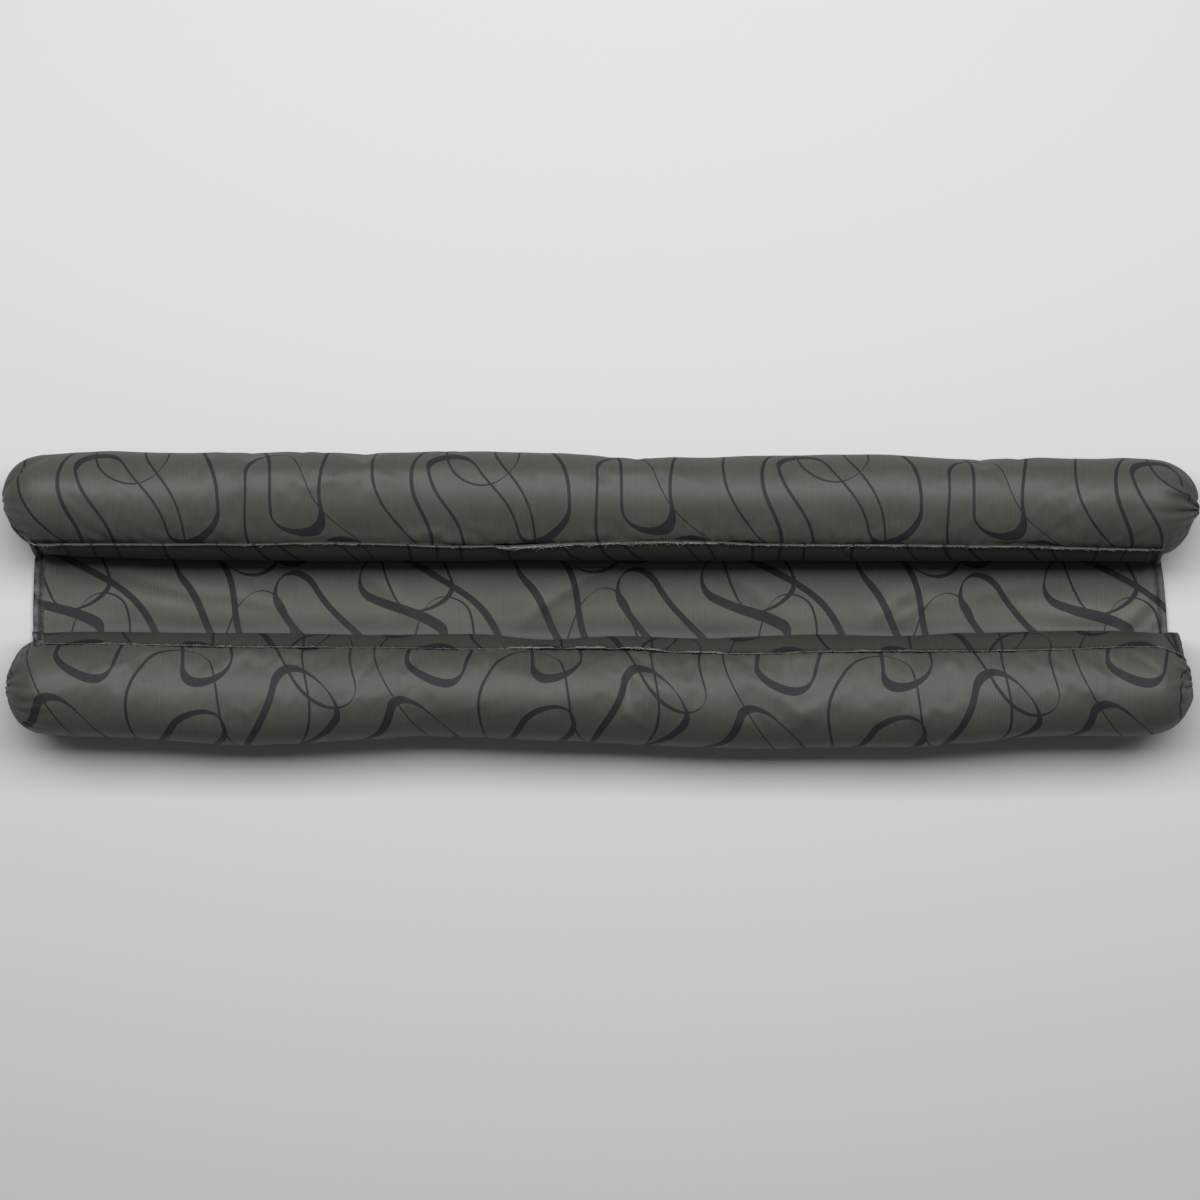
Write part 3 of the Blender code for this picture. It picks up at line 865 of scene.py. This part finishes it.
# The panel's satin, with painted light where it lies flat and painted shade on the rolls' sides.
panel_satin = satin("panel_satin", (0.19, 0.07), PANEL_PAINTED_LIGHT, turned=HEM)
panel = finished("panel_cloth", cloth, panel_satin)
u, v = own_measure(panel.data)
height = creased(u, v, PANEL_CREASES) + hemmed(u, v) + hemmed(length - u, v)
lying = np.clip(np.minimum(v, width - v) / 0.04, 0, 1)
height += lying * (
    PANEL_LIFT + PANEL_LUMPS * uneven(u, v, 13, 22, 4.0)
    + PANEL_FINE_LUMPS * uneven(u, v, 50, 70, 6.0))
raised(panel.data, height)
thicken = panel.modifiers.new("Thickness", "SOLIDIFY")
thicken.thickness = PANEL_THICK
thicken.offset = -1.0


# The sewing: pale polyester thread wound round the raw edges of both long seams by an overlock
# machine, the fray that works loose from it, and a dense zigzag of dark thread that holds each hem.
THREAD = 0.00036
THREAD_GREY = (0.400, 0.400, 0.380)
THREAD_DARK = (0.020, 0.019, 0.021)
THREAD_BUMP = 0.00005
OVERLOCK_PITCH = 0.0021
OVERLOCK_SLACK = 0.00014
HAIR = 0.00013
HAIRS = 2200
HAIR_SWAY = 0.00010
HEM_PITCH = 0.0008
HEM_THREAD = 0.00050


def thread_material(name, colour):
    """Spun thread: its colour and roughness vary along it, over a fine twist."""
    material, shader, thread = new_material(name, specular=0.25)
    body = thread.make("ShaderNodeTexCoord", output="Object")
    patch = thread.noise(body, 240.0, 2.0)
    varied = thread.shaded(colour, 0.55 + patch * 0.9)
    twist = thread.make("ShaderNodeTexWave", {"bands_direction": "DIAGONAL"}, {
        "Vector": body, "Scale": 900.0})
    bump = thread.make("ShaderNodeBump", {}, {
        "Strength": 0.4, "Distance": THREAD_BUMP, "Height": twist})
    feed(shader, {"Base Color": varied, "Roughness": 0.62 + patch * 0.25, "Normal": bump})
    return material


def threads(name, strands, thickness, material):
    """One object of many strands of thread. A strand is its points and, at each, its fullness."""
    curve = bpy.data.curves.new(name, "CURVE")
    curve.dimensions = "3D"
    curve.bevel_depth = thickness / 2
    curve.bevel_resolution = 0
    curve.use_fill_caps = True
    for places, fullness in strands:
        strand = curve.splines.new("POLY")
        strand.points.add(len(places) - 1)
        strand.points.foreach_set("co", np.column_stack([places, np.ones(len(places))]).ravel())
        strand.points.foreach_set("radius", fullness)
    curve.materials.append(material)
    made = bpy.data.objects.new(name, curve)
    bpy.context.scene.collection.objects.link(made)
    return made


def overlock(seam, first, last, chance):
    """The thread that winds round a raw edge, from one x to another."""
    x = np.arange(first, last, OVERLOCK_PITCH / 4)
    place, out, down = seam_frame(seam, x)
    top = raw_edge(seam, x)
    tall = np.linalg.norm(top, axis=1, keepdims=True)
    aside = np.cross(top / tall, (seam.roll.side, 0.0, 0.0))
    beat = np.arange(len(x)) % 4
    up = np.choose(beat, [0.1, 1.0, 0.1, 1.0])[:, None] * (1 + THREAD / tall)
    across = np.choose(beat, [-1.0, -0.4, 1.0, 0.4])[:, None] * (PANEL_THICK + THREAD) / 2
    loose = chance.normal(0, OVERLOCK_SLACK, (len(x), 3))
    winds = place + aside * (PANEL_THICK / 2 + across) + top * up + loose
    return winds, 0.16 + 0.90 * share_shown(seam, x)


def fray(seam, first, last, chance):
    """Hairs of loose fibre, mostly along a raw edge, where its thread shows."""
    x = chance.uniform(first, last, HAIRS)
    x = x[chance.uniform(0, 1, HAIRS) < share_shown(seam, x) ** 1.5]
    strands = []
    for start in np.sort(x):
        reach = chance.uniform(0.0015, 0.0080) * chance.choice([-1, 1])
        beside = np.clip(start + reach * np.linspace(0, 1, 5), first, last)
        top = raw_edge(seam, beside)
        up = chance.uniform(0.4, 1.1) + np.linspace(0, chance.normal(0.35, 0.55), 5) ** 2
        aside = np.cross(top, (seam.roll.side, 0.0, 0.0))
        across = chance.uniform(-0.3, 1.3) + np.linspace(0, chance.normal(0, 0.6), 5)
        sway = np.cumsum(chance.normal(0, HAIR_SWAY, (5, 3)), axis=0)
        place = seam_frame(seam, beside)[0]
        strands.append((place + top * up[:, None] + aside * across[:, None] + sway,
                        np.array([1.0, 1.0, 0.9, 0.7, 0.3])))
    return strands


def on_panel(u, v):
    """Where the finished panel's cloth lies at this u, for each v, and the way out of it."""
    near = np.abs(panel_u - u) < 0.6 * HEM_STEP
    order = np.argsort(panel_v[near])
    places, ways = panel_place[near][order], panel_way[near][order]
    rows = panel_v[near][order]
    return [np.stack([np.interp(v, rows, values[:, i]) for i in range(3)], axis=1)
            for values in (places, ways)]


def zigzag(near, far, chance):
    """A hem's dense zigzag stitches, between two distances from the panel's left end."""
    v = np.arange(0.004, width - 0.005, HEM_PITCH / 2)
    v = v + chance.normal(0, HEM_PITCH / 12, len(v))
    lines = [on_panel(u, v) for u in (near, (near + far) / 2, far)]
    places, ways = (np.stack([line[i] for line in lines]) for i in (0, 1))
    order = np.resize([0, 1, 2, 1], len(v))
    each = np.arange(len(v))
    lift = np.choose(order, [0.1, 0.5, 0.1])[:, None] * HEM_THREAD
    return places[order, each] + lift * ways[order, each], np.ones(len(v))


chance = np.random.default_rng(11)
pale_thread = thread_material("thread_pale", THREAD_GREY)
dark_thread = thread_material("thread_dark", THREAD_DARK)
sewing = []
for seam in SEAMS:
    ends = points[0, seam.row, 0] + 0.001, points[-1, seam.row, 0] - 0.001
    wound = overlock(seam, *ends, chance)
    name = seam.roll.node.replace("roll", "seam")
    sewing.append(threads(name + "_overlock", [wound], THREAD, pale_thread))
    sewing.append(threads(name + "_fray", fray(seam, *ends, chance), HAIR, pale_thread))
panel_u, panel_v = own_measure(panel.data)
panel_place = np.array([vertex.co for vertex in panel.data.vertices])
panel_way = np.array([vertex.normal for vertex in panel.data.vertices])
for name, inner, out in (("left", HEM, -1), ("right", length - HEM, 1)):
    near, far = (inner + out * distance for distance in HEM_STITCH)
    stitches = zigzag(near, far, chance)
    sewing.append(threads(f"hem_{name}_stitches", [stitches], HEM_THREAD, dark_thread))


# The ties: at each end of a roll the gathered cloth is bound with a few turns of dark thread. What
# is left of the tube stands outside the tie as a small folded bunch.
BUNCH_RADIUS = 0.0068
# The bunch from the tie outwards: shares of its length and, at each, shares of its radius.
BUNCH_RISE = (0.0, 0.06, 0.20, 0.40, 0.66, 0.90, 1.00, 0.94, 0.82)
BUNCH_GIRTH = (0.40, 0.52, 0.86, 1.00, 0.98, 0.80, 0.54, 0.28, 0.05)
TIE_RADIUS = 0.46             # share of the bunch's
TIE_TURNS = 3
TIE_FROM, TIE_TO = -0.0002, 0.0009    # these turns lie from here to here, outwards
TIE_SLACK = 0.00008
TIE_POINTS = 70


def bunch_points(middle, outwards, rise, start):
    """The bunch's cloth, from the tie outwards: rows of points round its axis."""
    round_it = np.linspace(0, math.tau, 43)
    fold = 1 + 0.15 * np.cos(8 * round_it + 1.3 * np.sin(2 * round_it + start))
    wave = 1 + 0.18 * np.cos(3 * round_it + start) + 0.10 * np.cos(8 * round_it + 2 * start)
    points = []
    for high, wide in zip(BUNCH_RISE, BUNCH_GIRTH):
        radius = BUNCH_RADIUS * wide * (1 + (fold - 1) * min(1, 4 * high))
        points.append(np.stack([
            middle[0] + outwards * rise * high * wave,
            middle[1] + radius * np.cos(round_it),
            middle[2] + radius * np.sin(round_it),
        ], axis=1))
    return np.array(points)


bindings = []
for (node, outwards), (middle, gather, material) in ties_of_rolls.items():
    points = bunch_points(middle, outwards, gather.bunch, gather.start)
    cloth = cloth_grid(points, flat_map(points))
    bmesh.ops.remove_doubles(cloth, verts=cloth.verts, dist=SAME_PLACE)
    bmesh.ops.recalc_face_normals(cloth, faces=cloth.faces)
    bunch = finished(f"{node}_bunch_{'right' if outwards > 0 else 'left'}", cloth, material)
    smooth = bunch.modifiers.new("Smooth", "SUBSURF")
    smooth.levels = smooth.render_levels = 1
    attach(bunch, "root")
    turns = np.linspace(0, TIE_TURNS * math.tau, TIE_POINTS)
    around = BUNCH_RADIUS * TIE_RADIUS + chance.normal(0, TIE_SLACK, TIE_POINTS)
    binding = np.stack([
        middle[0] + outwards * np.linspace(TIE_FROM, TIE_TO, TIE_POINTS),
        middle[1] + around * np.cos(turns),
        middle[2] + around * np.sin(turns),
    ], axis=1)
    bindings.append((binding, np.ones(TIE_POINTS)))
tie_threads = threads("tie_threads", bindings, THREAD * 1.5, dark_thread)

for piece in [panel, tie_threads] + sewing:
    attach(piece, "root")
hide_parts("door_panel")


# The stage: a plain pale floor, one large soft light above and behind with a little light from all
# round, and a camera that looks straight down.
FLOOR_SIZE = 6.0
FLOOR_GREY = 0.50
KEY_PLACE, KEY_SIZE, KEY_POWER = (0.0, 0.66, 1.53), (3.0, 0.80), 55
ROUND_STRENGTH = 0.115
CAMERA_HEIGHT = 2.6
WIDEST_HEIGHT = 0.045         # the object is as long as in the photograph at this height
PHOTO_WIDTH = 1200            # pixels across the photograph
OBJECT_FROM, OBJECT_TO = 1.0, 1198.0    # pixels of the object's left and right ends

floor_shape = bmesh.new()
bmesh.ops.create_grid(floor_shape, x_segments=1, y_segments=1, size=FLOOR_SIZE / 2)
floor_finish, floor_shader = new_material("floor_finish")[:2]
floor_shader.inputs["Base Color"].default_value = (FLOOR_GREY, FLOOR_GREY, FLOOR_GREY, 1.0)
floor_shader.inputs["Roughness"].default_value = 0.9
floor = finished("floor", floor_shape, floor_finish)


lamp = bpy.data.lights.new("key_light", "AREA")
lamp.shape = "RECTANGLE"
lamp.size, lamp.size_y = KEY_SIZE
lamp.energy = KEY_POWER
light = bpy.data.objects.new("key_light", lamp)
light.location = KEY_PLACE
light.visible_camera = False
to_middle = Vector((0, 0, 0)) - Vector(KEY_PLACE)
light.rotation_euler = to_middle.to_track_quat("-Z", "Y").to_euler()
bpy.context.scene.collection.objects.link(light)

world = bpy.data.worlds.new("studio")
world.use_nodes = True
world.node_tree.nodes["Background"].inputs["Color"].default_value = (1, 1, 1, 1)
world.node_tree.nodes["Background"].inputs["Strength"].default_value = ROUND_STRENGTH
bpy.context.scene.world = world
bpy.context.scene.view_settings.view_transform = "Standard"

low, high = solid_bounds
seen_width = (high[0] - low[0]) * PHOTO_WIDTH / (OBJECT_TO - OBJECT_FROM)
lens = bpy.data.cameras.new("camera")
lens.sensor_width = 36.0
lens.lens = lens.sensor_width * (CAMERA_HEIGHT - WIDEST_HEIGHT) / seen_width
camera = bpy.data.objects.new("camera", lens)
camera.location = (0.0, 0.0, CAMERA_HEIGHT)
bpy.context.scene.collection.objects.link(camera)
bpy.context.scene.camera = camera
